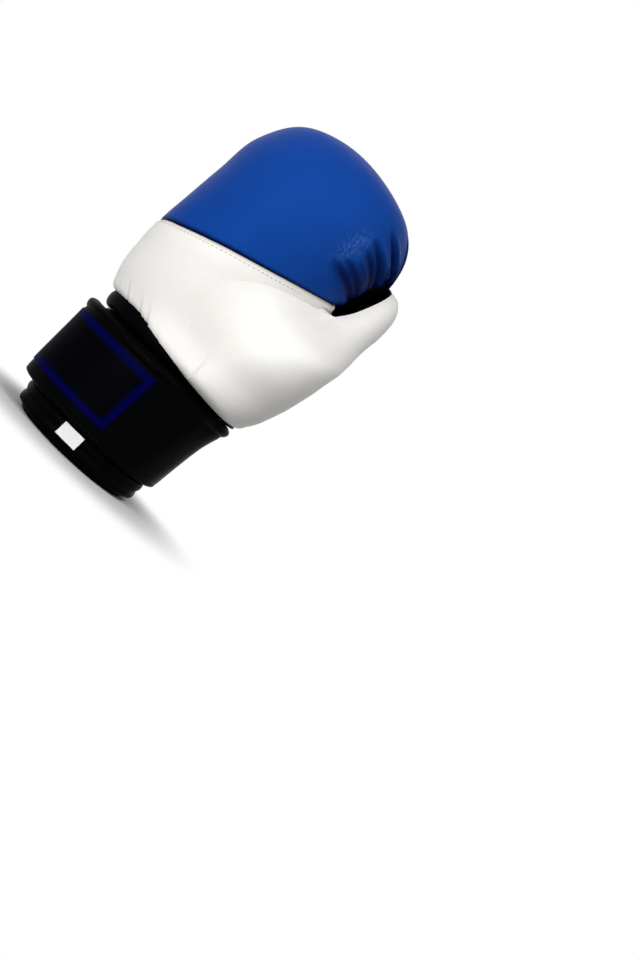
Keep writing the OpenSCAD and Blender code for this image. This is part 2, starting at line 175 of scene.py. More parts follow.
# Angle round the fist and height share of the seam. The first eight points come round again.
SEAM_ROUND = [(-90, 0.44), (-60, 0.5), (-40, 0.537), (-22, 0.568), (-15.5, 0.579), (-14, 0.6),
              (-9, 0.672), (5, 0.725), (40, 0.61), (80, 0.43), (120, 0.39), (180, 0.335),
              (208, 0.357), (233, 0.376), (254, 0.408)]
SEAM = SEAM_ROUND + [(v + 360, s) for v, s in SEAM_ROUND[:8]]


def share(u, v):
    """Height share of row u: 0 at the wrist, 1 on the knuckle seam and 2 on the crown."""
    seam = smooth(SEAM, (v + 90) % 360 - 90)
    return np.where(u < 1, seam * u, seam + (1 - seam) * (u - 1))


def fist(u, v):
    """Face of the fist by rows."""
    return hand(share(u, v), v)


POCKET_WIDE, POCKET_TAPER, POCKET_DEEP = 0.683, 0.095, 0.8072


def pocket(u, v):
    """Inner face of the padding, a smaller copy of the fist."""
    outer = fist(u, v)
    f = np.minimum(1, 2 * share(u, v))
    k = POCKET_WIDE - POCKET_TAPER * f
    mid_y = CROWN_Y * f
    return np.stack([CROWN_X + (outer[:, 0] - CROWN_X) * k, mid_y + (outer[:, 1] - mid_y) * k,
                     CUFF_L + (outer[:, 2] - CUFF_L) * POCKET_DEEP], 1)


print("seam between shares", min(s for _, s in SEAM), "and", max(s for _, s in SEAM))

# %% [markdown]
# ## The faces of the cuff and the thumb
# The cuff is an oval tube that leans a little and widens towards the wrist. The thumb lies on the
# side of the hand, so a place on it is given by how far along it lies, how far across, and how
# high over the hand. Both are functions that return points, as the fist is, and each cover below
# is laid on one of these faces.

# %% The cuff and the thumb
RIM_RADIUS, WRIST_WIDER, WRIST_THINNER = 41.0, 7.0, 1.0
CUFF_LEAN, RIM_SHIFT = 3.5, 3.0


def cuff_oval(z):
    """Middle of the cuff's oval at height z, and the oval's two half widths."""
    f = np.clip(z / CUFF_L, 0, 1)
    return (CUFF_LEAN * f, RIM_SHIFT * (1 - f),
            RIM_RADIUS + WRIST_WIDER * f, RIM_RADIUS - WRIST_THINNER * f)


def cuff(z, v, out=0.0):
    """Face of the oval cuff, or a face that lies out by so many millimetres."""
    mid_x, mid_y, half_x, half_y = cuff_oval(z)
    x = mid_x + (half_x + out) * cos_deg(v)
    y = mid_y + (half_y + out) * sin_deg(v)
    return np.stack([x, y, z + 0 * v], 1)


# By the place along the thumb: angle of its middle, share of its width, share of its height.
THUMB_MID = [(0, -24), (0.3, -16), (0.6, -2), (0.8, 7), (1, 9)]
THUMB_SPAN = [(0, 1.2), (0.3, 1.05), (0.6, 0.72), (0.8, 0.52), (1, 0.48)]
THUMB_RISE = [(0, 0.12), (0.1, 0.54), (0.3, 0.93), (0.5, 1.09), (0.65, 0.95), (0.8, 0.67),
              (1, 0.65)]
THUMB_REACH, THUMB_HALF, THUMB_ROUND = 0.735, 34.0, 0.74


def dome(x):
    """Height of a half circle over x from -1 to 1, and 0 outside."""
    return np.sqrt(np.clip(1 - x**2, 0, 1))


def thumb_tip(p):
    """Share of its width that the thumb keeps at p: it rounds off towards its tip at 1."""
    past = np.maximum(p - THUMB_ROUND, 0) / (1 - THUMB_ROUND)
    return dome(past)


def thumb_half(p):
    """Half of the thumb's width at p, in degrees round the hand."""
    return THUMB_HALF * smooth(THUMB_SPAN, p) * thumb_tip(p)


def thumb_face(p, q, height):
    """Point over the side of the hand: p runs along the thumb, q from -1 to 1 across it."""
    base = hand(THUMB_REACH * p, smooth(THUMB_MID, p) + q * thumb_half(p))
    return base + outward(base) * height[:, None]


print("cuff's oval at the rim", cuff_oval(0.0), "and at the wrist", cuff_oval(CUFF_L))

# %% [markdown]
# ## From a flat grid to a sewn panel
# A leather panel starts flat, as a grid primitive does. Each point of the grid then moves onto
# the curved face. Along a seam the panel turns inwards, as leather does where a thread pulls it
# tight, and a Solidify modifier gives it the thickness of padded leather. A cloth simulation
# could find such a form by itself, but it would not leave each seam and fold where it belongs.


# %% Panels from grids
def lay_grid(name, rows, cols, place):
    """Add a grid primitive and lay its points on a face: rows along its X, columns along its Y."""
    bpy.ops.object.select_all(action="DESELECT")
    bpy.ops.mesh.primitive_grid_add(x_subdivisions=len(rows) - 1, y_subdivisions=len(cols) - 1,
                                    size=2)
    piece = bpy.context.object
    piece.name = piece.data.name = name
    flat = np.empty(len(piece.data.vertices) * 3)
    piece.data.vertices.foreach_get("co", flat)
    flat = flat.reshape(-1, 3)
    r = np.interp((flat[:, 0] + 1) / 2, np.linspace(0, 1, len(rows)), rows)
    c = np.interp((flat[:, 1] + 1) / 2, np.linspace(0, 1, len(cols)), cols)
    piece.data.vertices.foreach_set("co", (place(r, c) * MM).ravel())
    return piece


def close_up(piece, reach=0.02, middle=None):
    """Merge the points that meet, turn the faces outwards and shade the piece smooth. An open
    sheet needs a point on its inner side to tell which way is outwards."""
    bpy.ops.object.select_all(action="DESELECT")
    piece.select_set(True)
    bpy.context.view_layer.objects.active = piece
    bpy.ops.object.mode_set(mode="EDIT")
    bpy.ops.mesh.select_all(action="SELECT")
    bpy.ops.mesh.remove_doubles(threshold=reach * MM)
    bpy.ops.mesh.normals_make_consistent(inside=False)
    bpy.ops.object.mode_set(mode="OBJECT")
    if middle is not None:
        inner = Vector(middle) * MM
        if sum(f.area * f.normal.dot(f.center - inner) for f in piece.data.polygons) < 0:
            piece.data.flip_normals()
    bpy.ops.object.shade_smooth()
    return piece


def thicken(piece, wall):
    """Give a sheet its thickness, inwards from its face."""
    solid = piece.modifiers.new("wall", "SOLIDIFY")
    solid.thickness = wall * MM
    solid.offset = -1
    bpy.context.view_layer.objects.active = piece
    bpy.ops.object.modifier_apply(modifier=solid.name)
    return piece


def point_mark(piece, name, values):
    """Keep a value from 0 to 1 for each point, such as how deep in a crease it lies, for its
    finish to read."""
    mark = piece.data.attributes.new(name, "FLOAT", "POINT")
    mark.data.foreach_set("value", np.clip(values, 0, 1).astype(np.float32))


# %% Lift a panel off its face
FIST_MIDDLE = np.array([CROWN_X, 8.0, 150.0])
STEP_A, STEP_B = 2e-3, 0.2
FLAT, TINY = 1e-4, 1e-6


def measure(face, a, b, middle):
    """Points of a face, their normals away from the middle, and the width in millimetres of one
    step of a and of b."""
    point = face(a, b)
    run_a = (face(a + STEP_A, b) - face(a - STEP_A, b)) / (2 * STEP_A)
    run_b = (face(a, b + STEP_B) - face(a, b - STEP_B)) / (2 * STEP_B)
    normal = np.cross(run_b, run_a)
    size = np.linalg.norm(normal, axis=1, keepdims=True)
    normal = np.where(size > FLAT, normal / np.maximum(size, FLAT), [0.0, 0.0, 1.0])
    inward = np.sum(normal * (point - middle), axis=1, keepdims=True) < 0
    wide_a = size[:, 0] / np.maximum(np.linalg.norm(run_b, axis=1), TINY)
    wide_b = size[:, 0] / np.maximum(np.linalg.norm(run_a, axis=1), TINY)
    return point, np.where(inward, -normal, normal), wide_a, wide_b


def turn_in(edge, radius):
    """How far a panel has turned in at so many millimetres from its sewn edge."""
    left = np.clip(radius - edge, 0, radius)
    return radius - np.sqrt(radius**2 - left**2)


def bell(x, width=1.0):
    """Bell curve: 1 at 0, and soon 0 past the width."""
    return np.exp(-((x / width) ** 2))


def to_edge(x, low, high):
    """Distance to the nearer end of a range."""
    return np.minimum(x - low, high - x)


# %% A panel of the fist
# Angle round the wrist, and millimetres by which the white leather hangs down or stands out.
WRIST_DROP = [(0, 0), (250, 0), (271, 3), (291, 5), (317, 7), (345, 7.5), (366, 6), (390, 2),
              (410, 0)]
WRIST_PUSH = [(0, 0), (240, 0.5), (262, 4), (291, 5.5), (320, 4), (345, 0), (410, 0)]
HEM_REACH = 11.0


def wrist_hem(v, above):
    """How far the white leather hangs down over the wrist band, and how far it stands out."""
    near = bell(above, HEM_REACH)
    return smooth(WRIST_DROP, v) * near, smooth(WRIST_PUSH, v) * near


PANEL_WALL, SEAM_TURN, SEAM_SHADE = 1.8, 2.6, 1.6
SWELL, SWELL_AT, SWELL_WIDE = 0.5, 9.0, 7.0
FAR_OFF, THIN_ROW = 1e3, 10.0


def hand_panel(name, rows, cols, folds=None, hem=None, face=fist, sewn=True, turn_low=SEAM_TURN):
    """A panel of the fist. It turns in at its lower edge, and if sewn along its other sides too,
    where it swells a little beside the seam. Folds add to its height."""
    marks = {}

    def place(u, v):
        point, normal, per_u, per_v = measure(face, u, v, FIST_MIDDLE)
        above = np.where(per_u > THIN_ROW, (u - rows[0]) * per_u, FAR_OFF)
        edge = np.full(len(u), FAR_OFF)
        if sewn:
            sides = to_edge(v, cols[0], cols[-1]) * per_v
            edge = np.minimum((rows[-1] - u) * per_u, sides)
        low = turn_low(v) if callable(turn_low) else turn_low
        height = SWELL * bell(edge - SWELL_AT, SWELL_WIDE)
        height -= turn_in(edge, SEAM_TURN) + turn_in(above, low)
        # Painted shade: points near a seam or the turned-in lower edge are marked for the darker
        # crease colour.
        shade = bell(np.minimum(edge, above), SEAM_SHADE)
        if folds:
            rise, dark, marks["shine"] = folds(u, v, above)
            height, shade = height + rise, np.maximum(shade, dark)
        if hem:
            drop, push = hem(v, above)
            height = height + push
            point[:, 2] -= drop
        marks["crease"] = shade
        return point + normal * height[:, None]

    piece = lay_grid(name, rows, cols, place)
    for mark, values in marks.items():
        point_mark(piece, mark, values)
    close_up(piece, middle=FIST_MIDDLE)
    return thicken(piece, PANEL_WALL)


# %% [markdown]
# ## Leather, cloth and thread
# Coated leather has a soft gloss, a fine pebbled grain and a tone that drifts a little over the
# panel. Shade falls inside a crease, so each panel carries a mark of its creases, and the finish
# paints that shade in as a darker colour. A woven cloth shows two sets of yarns that cross, and
# hook-and-loop tape a dense nap. Pictures of leather could be wrapped round the panels. Patterns
# made by shader nodes need no picture, and show no edge where one would end.


# %% Tools for finishes
def new_finish(name):
    """A new material: the material itself, its nodes, its links and its shader."""
    finish = bpy.data.materials.new(name)
    finish.use_nodes = True
    tree = finish.node_tree
    return finish, tree.nodes, tree.links, tree.nodes["Principled BSDF"]


def add(nodes, kind, **settings):
    """Add a shader node with the given inputs, written with _ for a space."""
    node = nodes.new("ShaderNode" + kind)
    for key, value in settings.items():
        node.inputs[key.replace("_", " ")].default_value = value
    return node


def add_math(nodes, operation):
    """Add a node that works out one sum."""
    node = nodes.new("ShaderNodeMath")
    node.operation = operation
    return node


def add_mark(nodes, name):
    """Add a node that reads a mark of the points."""
    node = nodes.new("ShaderNodeAttribute")
    node.attribute_name = name
    return node


def ramp(nodes, low, high, at=(0.3, 0.7)):
    """Add a ramp from one colour to another."""
    node = nodes.new("ShaderNodeValToRGB")
    for element, place, colour in zip(node.color_ramp.elements, at, (low, high)):
        element.position = place
        element.color = (*colour, 1)
    return node


def wire(links, *wires):
    """Link nodes, each wire given as a node, its output, the next node and its input."""
    for source, output, target, entry in wires:
        links.new(source.outputs[output], target.inputs[entry])


# %% Leather
def paint_highlight(nodes, links, spot, deep, painted_highlight):
    """Painted highlight: pale specks mixed into the colour, in the places that the mark "shine"
    gives.
    """
    shine = add_mark(nodes, "shine")
    specks = add(nodes, "TexNoise", Scale=520.0, Detail=2.0)
    sharp = add(nodes, "MapRange", From_Min=0.4, From_Max=0.62)
    highlight_share = add_math(nodes, "MULTIPLY")
    pale = add(nodes, "MixRGB", Color2=(*painted_highlight, 1))
    wire(links, (spot, "Object", specks, "Vector"), (specks, "Fac", sharp, "Value"),
         (sharp, "Result", highlight_share, 0), (shine, "Fac", highlight_share, 1),
         (highlight_share, "Value", pale, "Fac"), (deep, "Color", pale, "Color1"))
    return pale


def leather(name, tone, shade, crease, rough, gloss_level, tint=(1, 1, 1), painted_highlight=None):
    """Coated leather: a drifting tone, painted crease shade, a pebbled grain and a gloss that
    varies.
    """
    finish, nodes, links, skin = new_finish(name)
    spot = nodes.new("ShaderNodeTexCoord")
    drift = add(nodes, "TexNoise", Scale=16.0, Detail=4.0, Roughness=0.6)
    colour = ramp(nodes, shade, tone)
    # Painted shade: the crease mark mixes the crease colour in, in creases and beside seams.
    mark = add_mark(nodes, "crease")
    deep = add(nodes, "MixRGB", Color2=(*crease, 1))
    wire(links, (spot, "Object", drift, "Vector"), (drift, "Fac", colour, "Fac"),
         (mark, "Fac", deep, "Fac"), (colour, "Color", deep, "Color1"))
    # Painted highlight, where a highlight colour is given.
    top = paint_highlight(nodes, links, spot, deep, painted_highlight) if painted_highlight else deep
    gloss = add(nodes, "MapRange", To_Min=rough - 0.07, To_Max=rough + 0.09)
    pebble = add(nodes, "TexVoronoi", Scale=1100.0, Randomness=1.0)
    soft = add(nodes, "TexNoise", Scale=210.0, Detail=3.0)
    big = add(nodes, "Bump", Strength=0.25, Distance=0.0006)
    fine = add(nodes, "Bump", Strength=0.3, Distance=0.00025)
    wire(links, (top, "Color", skin, "Base Color"), (drift, "Fac", gloss, "Value"),
         (gloss, "Result", skin, "Roughness"), (spot, "Object", pebble, "Vector"),
         (spot, "Object", soft, "Vector"), (soft, "Fac", big, "Height"),
         (pebble, "Distance", fine, "Height"), (big, "Normal", fine, "Normal"),
         (fine, "Normal", skin, "Normal"))
    skin.inputs["Specular IOR Level"].default_value = gloss_level
    skin.inputs["Specular Tint"].default_value = (*tint, 1)
    return finish


# %% Cloth and thread
def cloth(name, tone, shade, yarns, rough=0.85, sheen=0.2):
    """Woven cloth: two waves of yarns that cross, in two tones."""
    finish, nodes, links, skin = new_finish(name)
    spot = nodes.new("ShaderNodeTexCoord")
    weave = add_math(nodes, "MULTIPLY")
    for k, direction in enumerate("ZX"):
        yarn = add(nodes, "TexWave", Scale=yarns, Distortion=0.6)
        yarn.bands_direction = direction
        wire(links, (spot, "Object", yarn, "Vector"), (yarn, "Fac", weave, k))
    colour = ramp(nodes, shade, tone, (0.05, 0.6))
    relief = add(nodes, "Bump", Strength=0.5, Distance=0.0003)
    wire(links, (weave, "Value", colour, "Fac"), (colour, "Color", skin, "Base Color"),
         (weave, "Value", relief, "Height"), (relief, "Normal", skin, "Normal"))
    skin.inputs["Roughness"].default_value = rough
    skin.inputs["Specular IOR Level"].default_value = 0.08
    skin.inputs["Sheen Weight"].default_value = sheen
    return finish


# %% The glove's finishes
# The third colour of each leather is the painted shade of its creases.
blue_leather = leather(
    "blue_leather", (0.007, 0.058, 0.32), (0.0058, 0.051, 0.29), (0.0001, 0.0006, 0.042),
    0.36, 0.016, tint=(0.22, 0.5, 1), painted_highlight=(0.04, 0.12, 0.42))
white_leather = leather(
    "white_leather", (0.90, 0.885, 0.855), (0.88, 0.86, 0.82), (0.55, 0.52, 0.47), 0.45, 0.2)
black_leather = leather(
    "black_leather", (0.0012, 0.0013, 0.0018), (0.0008, 0.0009, 0.0012), (0.0004, 0.0004, 0.0005),
    0.34, 0.009)
lining_cloth = cloth("lining_cloth", (0.035, 0.036, 0.04), (0.012, 0.012, 0.014), 260.0)
elastic_cloth = cloth("elastic_cloth", (0.03, 0.03, 0.033), (0.006, 0.006, 0.007), 190.0)
tape_nap = cloth("tape_nap", (0.022, 0.022, 0.024), (0.006, 0.006, 0.007), 420.0, 0.95, 0.5)
tag_cloth = cloth("tag_cloth", (0.95, 0.95, 0.94), (0.84, 0.84, 0.83), 700.0)
pale_thread = cloth("pale_thread", (0.66, 0.65, 0.62), (0.42, 0.41, 0.39), 1500.0)
dark_thread = cloth("dark_thread", (0.004, 0.004, 0.005), (0.002, 0.002, 0.0025), 1500.0, 0.9, 0.0)


def finish_piece(piece, finish, body, slot, *nodes, fill=None):
    """Dress a piece in its finish and hang it on the frame. A piece that two bodies carry is given
    no body here."""
    piece.data.materials.clear()
    piece.data.materials.append(finish)
    if body:
        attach(piece, body)
    if nodes:
        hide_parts(*nodes)
    print(piece.name, len(piece.data.polygons), "faces")


print("finishes:", len(bpy.data.materials))

# %% [markdown]
# ## The knuckle cover
# One blue panel covers the knuckles and the rolled fingers. Beside the thumb its long edge is
# gathered onto a shorter strip, so narrow pleats stand up there and fan out over the fist. Each
# pleat is a valley between two ridges, deepest at the seam and gone after a few centimetres.
# The pleats' valleys are painted darker as shade, and beside the pleats a small patch is painted
# pale as a highlight. A brush could sculpt the pleats. As rows of a table, each of them can be
# moved, deepened or widened by itself.

# %% Pleats
# Each pleat: angle and height share of its start, the same of its end, its depth and its width.
PLEATS = [(-12.6, 0.620, -52, 0.640, 2.6, 2.0), (-11.8, 0.634, -49.5, 0.668, 3.0, 1.4),
          (-11, 0.645, -42, 0.688, 2.2, 1.2), (-9.6, 0.658, -46, 0.722, 3.2, 1.8),
          (-7.5, 0.672, -47, 0.754, 4.2, 1.6), (-5, 0.690, -28, 0.742, 2.6, 1.2),
          (0, 0.708, -41, 0.805, 4.4, 1.5), (6, 0.722, -12, 0.850, 3.6, 1.5),
          (13, 0.716, 11, 0.850, 3.4, 1.4), (20, 0.698, 28, 0.820, 3.8, 1.6),
          (27, 0.670, 43, 0.780, 3.2, 1.4), (34, 0.638, 55, 0.720, 2.8, 1.5),
          (41, 0.602, 65, 0.660, 2.0, 1.3)]
PER_DEGREE, PER_SHARE = 1.05, 175.0
GATHER_TURN = 8.4
# Place and size of the painted highlight beside the pleats, by angle and height share.
HIGHLIGHT_V, HIGHLIGHT_SHARE = -51.0, 0.705
HIGHLIGHT_WIDE, HIGHLIGHT_HIGH = 5.5, 0.046904


def from_thumb(v):
    """Angle from the thumb's middle, from -180 to 180."""
    return np.where(v > 180, v - 360, v)


def gathered_edge(v):
    """How far the knuckle cover turns in at its lower edge: far where it is gathered beside the
    notch, a little elsewhere."""
    x = from_thumb(v)
    return SEAM_TURN + GATHER_TURN * ease(x, -17, -9) * (1 - ease(x, -4, 8))


def gathers(u, v, above):
    """Height, painted shade and painted highlight of the pleats, which run out from the gathered
    edge.
    They lie on a low bank. The hollow at the seam and the pleats' valleys are painted dark as
    shade."""
    x = from_thumb(v) * PER_DEGREE
    y = share(u, v) * PER_SHARE
    bank = 0.8 * bell(above - 26, 15) * bell(x - 8, 48)
    bank *= 1 - ease(y, 0.74 * PER_SHARE, 0.84 * PER_SHARE)
    # Painted shade: the hollow where the gathered edge turns in is dark.
    dark = np.exp(-((above / 16) ** 4) - ((x - 14) / 36) ** 8)
    ridge, dip = 0 * bank, 0 * bank
    for v0, t0, v1, t1, depth, wide in PLEATS:
        start = np.array([v0 * PER_DEGREE, t0 * PER_SHARE])
        run = np.array([v1 * PER_DEGREE, t1 * PER_SHARE]) - start
        reach = np.linalg.norm(run)
        run /= reach
        far = (x - start[0]) * run[0] + (y - start[1]) * run[1]
        f = np.clip(far / reach, 0, 1)
        bow = 1.2 * np.sin(math.pi * f)
        off = (x - start[0]) * run[1] - (y - start[1]) * run[0] - bow
        b = off / (wide * (0.7 + 0.6 * np.sin(math.pi * f**0.8)))
        fade = (1 - f**2.6) * np.clip(1 + far / 6, 0, 1)
        valley, sides = bell(b), 0.45 * bell(b - 1.6) + 0.3 * bell(b + 1.7)
        ridge = np.maximum(ridge, fade * depth * sides)
        dip = np.maximum(dip, fade * depth * 0.95 * valley)
        # Painted shade in each pleat's valley.
        dark = np.maximum(dark, valley**0.4 * fade**0.5 * min(1, depth / 2.6))
    # Painted highlight: a pale patch beside the pleats.
    shine = bell(x / PER_DEGREE - HIGHLIGHT_V, HIGHLIGHT_WIDE)
    shine *= bell(y / PER_SHARE - HIGHLIGHT_SHARE, HIGHLIGHT_HIGH)
    return bank + ridge - dip, dark, shine * (1 - dark)


# %% Knuckle cover
pleat_zone, plain_zone = np.linspace(-58, 80, 190), np.linspace(80, 302, 176)[1:]
knuckle_rows = 1 + np.concatenate([np.linspace(0, 0.05, 14), np.linspace(0.05, 1, 84)[1:]])
knuckle_cover = hand_panel("knuckle_cover", knuckle_rows, np.concatenate([pleat_zone, plain_zone]),
                           gathers, sewn=False, turn_low=gathered_edge)
finish_piece(knuckle_cover, blue_leather, "glove", "blue_leather", "knuckle_panel", "knuckle_foam",
             fill=0.9)

# %% [markdown]
# ## The lower panels
# Below the seam, a white panel covers the back of the hand, a black one the palm, and a black
# gusset the side where the thumb lies. The white leather is drawn together where it meets the
# cuff, so short folds run up from there. One function makes all three from the face that each one
# lies on, so that they turn in alike where they meet.

# %% Folds and faces of the lower panels
# Each fold above the cuff: its angle, its reach upwards and its depth.
FOLDS = [(206, 14, 0.5), (222, 12, 0.5), (234, 17, 1.3), (250, 16, 1.1), (259, 15, 1.2),
         (272, 9, 0.4)]
BACK_FROM, BACK_TO, NOTCH_V = 155.0, 345.0, 344.5
PALM_FROM, SEAT_FROM = 45.0, -15.0
BACK_TURN, PALM_TURN = 6.5, 5.0


def wrist_folds(u, v, above):
    """Height, painted shade and shine of short folds above the cuff, with a swelling beside the
    thumb's root. The folds' valleys are painted darker as shade, and there is no shine."""
    rise = 3.6 * bell(v - BACK_TO, 16) * bell(u - 0.9, 0.1)
    dark = np.zeros(len(v))
    for at, reach, depth in FOLDS:
        f = np.clip(above / reach, 0, 1)
        x = (v - at + 8 * f) / 1.1
        fade = (1 - f) ** 1.1
        rise += fade * depth * (0.6 * bell(x - 1.5) - bell(x))
        # Painted shade in each fold's valley.
        dark = np.maximum(dark, 0.6 * depth * bell(x) * fade)
    return rise, dark, 0 * dark


def panel_rows(low, high, fine, count):
    """Rows that lie close together near both sewn ends."""
    step = np.array([0, 0.15, 0.35, 0.6, 1, 1.5, 2.2]) * fine
    middle = np.linspace(low + step[-1], high - step[-1], count)[1:-1]
    return np.concatenate([low + step, middle, (high - step)[::-1]])


def back_face(u, v):
    """Face of the white panel. Below the notch's corner it reaches further round the thumb."""
    further = 12 * ease(1 - u, 0, 0.08) * ease(v, 320, BACK_TO)
    return hand(share(u, np.minimum(v, NOTCH_V)), v + further)


def thumb_seat(u, v):
    """Face of the gusset, sunk below the fist except where the thumb rests on it."""
    base = fist(u, v)
    start = 0.86 + 0.1 * ease(v, -4, 8)
    sunk = 1.9 * bell(v - 10, 15) - 1.5
    sunk -= 10 * ease(u, start, start + 0.2) * ease(v, SEAT_FROM, -8)
    return base + outward(base) * sunk[:, None]


# %% Back, palm and gusset covers
lower_rows, seat_rows = panel_rows(0, 1, 0.028, 60), panel_rows(0, 1.14, 0.028, 70)
back_cover = hand_panel("back_cover", lower_rows, panel_rows(BACK_FROM, BACK_TO, 2.4, 130),
                        wrist_folds, wrist_hem, back_face, turn_low=BACK_TURN)
finish_piece(back_cover, white_leather, "glove", "white_leather", "back_panel", "back_foam",
             fill=0.8)
palm_cover = hand_panel("palm_cover", lower_rows, panel_rows(PALM_FROM, BACK_FROM, 2.4, 80),
                        turn_low=PALM_TURN)
finish_piece(palm_cover, black_leather, "glove", "black_leather", "palm_panel", "palm_foam",
             fill=0.6)
thumb_gusset = hand_panel("thumb_gusset", seat_rows, panel_rows(SEAT_FROM, PALM_FROM, 2.4, 50),
                          face=thumb_seat)
finish_piece(thumb_gusset, black_leather, "glove", "black_leather", "thumb_seat_panel",
             "thumb_seat_foam", fill=0.6)

# %% [markdown]
# ## The thumb
# The thumb is a long white cushion that lies along the side of the hand. It grows out of the heel
# of the hand without a step on the side of the back, and stands free towards its tip. It is made
# as a closed loop round the thumb at every place along it, and follows the thumb's curve. The
# side that faces the hand is black. A stretched sphere would be quicker, but it would show a step
# at the root, where the real leather is pulled taut over the hand.

# %% Loops round the thumb
# By the place along the thumb: angle that the cover reaches on the back of the hand.
THUMB_FAR = [(0, -80), (0.2, -92), (0.45, -95), (0.55, -88), (0.6, -78), (0.66, -60), (0.7, -45),
             (0.73, -34), (1, -20)]
FREE_FROM, FREE_TO = 0.725, 0.757
ON_HAND, TIP_FAR = 0.3, 1.02


def thumb_loop(p, turn):
    """Closed loop round the thumb: the first half turn is its outer face, the second its inner
    one. Across the thumb, q runs from 1 to -1, and on to -far over the back of the hand."""
    root = 1 - ease(p, FREE_FROM, FREE_TO)
    half = thumb_half(p)
    reach = np.maximum(1.5, (smooth(THUMB_MID, p) - smooth(THUMB_FAR, p)) / np.maximum(half, 1))
    far = TIP_FAR + (reach - TIP_FAR) * root
    way = np.minimum(turn, 360 - turn) / 180
    over = -np.cos(math.pi * np.clip((way - ON_HAND) / (1 - ON_HAND), 0, 1))
    back = -1 - (far - 1) * np.clip(1 - way / ON_HAND, 0, 1) ** 2
    q = np.where(way < ON_HAND, back, over)
    # The cushion: round across the thumb, closed at both ends, softly joined to the hand.
    ends = dome(1 - np.clip(p / 0.05, 0, 1)) * thumb_tip(p) ** 0.2
    inside = dome(q)
    outside = np.sqrt(np.clip(q * q - 1, 0, None) / (far**2 - 1))
    rim = ease(p, 0.5, 0.765)
    side = 5 * rim * (1 - ease(q, -0.6, 0.4)) * ends * (1 - root * outside) ** 2
    tall = np.maximum(smooth(THUMB_RISE, p), 0.3) * thumb_tip(p) ** 0.8
    full = (5 + 32 * tall) * ends - side
    soft = (0.6 + (26 - 15 * ease(p, 0.45, 0.72)) * root) * ends + 0.01
    bulge = np.where(q < -1, -soft * outside, full * inside)
    joined = np.maximum(bulge, 0) + np.clip(soft - np.abs(bulge), 0, None) ** 2 / (4 * soft)
    bulge = np.where(q < 0, joined, bulge)
    # The inner side: a little off the hand, and hollow at the root.
    gap = 0.4 + 0.8 * ease(p, 0.33, 0.5) * (1 - ease(q, -0.5, 0.5))
    base = gap - (gap + 0.6) * root * ease(-q, 0.8, far)
    hollow = 1.2 * root * np.sin(math.pi * (q + far) / (1 + far))
    height = np.where(turn <= 180, bulge + base + side, base + side * (1 - inside) - hollow)
    drop, push = wrist_hem(smooth(THUMB_MID, p) + q * half + 360, THUMB_REACH * HAND_L * p)
    point = thumb_face(p, q, height + push * np.where(turn <= 180, ends, 0))
    point[:, 2] -= drop
    return point


# %% Taut leather
# By the place along the thumb: how taut the cover is.
THUMB_TAUT = [(0, 0.4), (0.1, 0.7), (0.2, 0.85), (0.5, 0.85), (0.6, 0.75), (0.66, 0.6),
              (0.71, 0.35), (0.76, 0), (1, 0)]
TAUT_WALK, TAUT_END = 48.0, 0.76


def taut_curve(x, y):
    """The curve y(x) of a skin that is pulled straight across the hollows of a curve."""
    kept = []
    for k in np.argsort(x):
        while len(kept) > 1:
            a, b = kept[-2:]
            if (x[b] - x[a]) * (y[k] - y[a]) > (y[b] - y[a]) * (x[k] - x[a]):
                break
            kept.pop()
        kept.append(k)
    return np.interp(x, x[kept], y[kept])


def thumb_place(p, turn):
    """Thumb loops whose outer face is pulled taut from the back of the hand to the ridge."""
    point = thumb_loop(p, turn)
    for row in np.unique(p[p < TAUT_END]):
        outer = np.flatnonzero((p == row) & (turn <= 180))
        outer = outer[np.argsort(turn[outer])]
        outer = outer[:np.argmax(point[outer, 0]) + 1]
        x, y, _ = point[outer].T
        walk = np.hypot(x - x[0], y - y[0])
        pull = smooth(THUMB_TAUT, np.array([row])) * ease(walk, 0, TAUT_WALK)
        point[outer, 1] += pull * (taut_curve(x, y) - y)
    return point


# %% Thumb cover
INNER_FROM, INNER_SHARE = 181, 0.4
thumb_rows = np.concatenate([
    [0, 0.002, 0.006, 0.012, 0.02, 0.03], np.linspace(0.04, 0.71, 56), [0.718, 0.725, 0.73],
    np.linspace(0.734, 0.81, 30)[:-1], 1 - 0.19 * cos_deg(np.linspace(0, 90, 22))])
thumb_turns = np.concatenate([np.linspace(0, 180, 121), np.linspace(180, 360, 61)[1:]])
thumb_cover = lay_grid("thumb_cover", thumb_rows, thumb_turns, thumb_place)
point_mark(thumb_cover, "inner_side", np.repeat(thumb_turns > INNER_FROM, len(thumb_rows)))
close_up(thumb_cover)
finish_piece(thumb_cover, white_leather, None, "white_leather", "thumb_heel_panel",
             "thumb_heel_foam", "thumb_panel", "thumb_foam", "thumb_inner_panel", fill=0.9)
# The inner side is black leather; the black also stands in for the shade in the gap under the
# thumb.
thumb_cover.data.materials.append(black_leather)
inner_side = [mark.value for mark in thumb_cover.data.attributes["inner_side"].data]
for face in thumb_cover.data.polygons:
    inner = sum(inner_side[k] for k in face.vertices) > INNER_SHARE * len(face.vertices)
    face.material_index = int(inner)
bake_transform(thumb_cover)

# %% [markdown]
# ## The cuff
# Black leather covers the cuff. Below the strap it is quilted into two soft rolls, and on the
# palm side a slit lets the hand in. The rolls could be rings of their own. On the glove they are
# one sheet with the rest of the leather, so they are waves in its height here too.

# %% Cuff skin
HEM_H, ROLL_H = 3.0, 6.5
ROLL_TOP = HEM_H + 2 * ROLL_H
SKIN_LOW, SKIN_HIGH = 3.2, 77.8
SKIN_FROM, SKIN_TO = 98.0, 442.0
SKIN_WALL, SKIN_TURN, SKIN_END = 1.6, 2.2, 1.2
CUFF_PER_DEGREE = 0.75
CUFF_MIDDLE = (1, 2, 40)
CUFF_COLS = 200


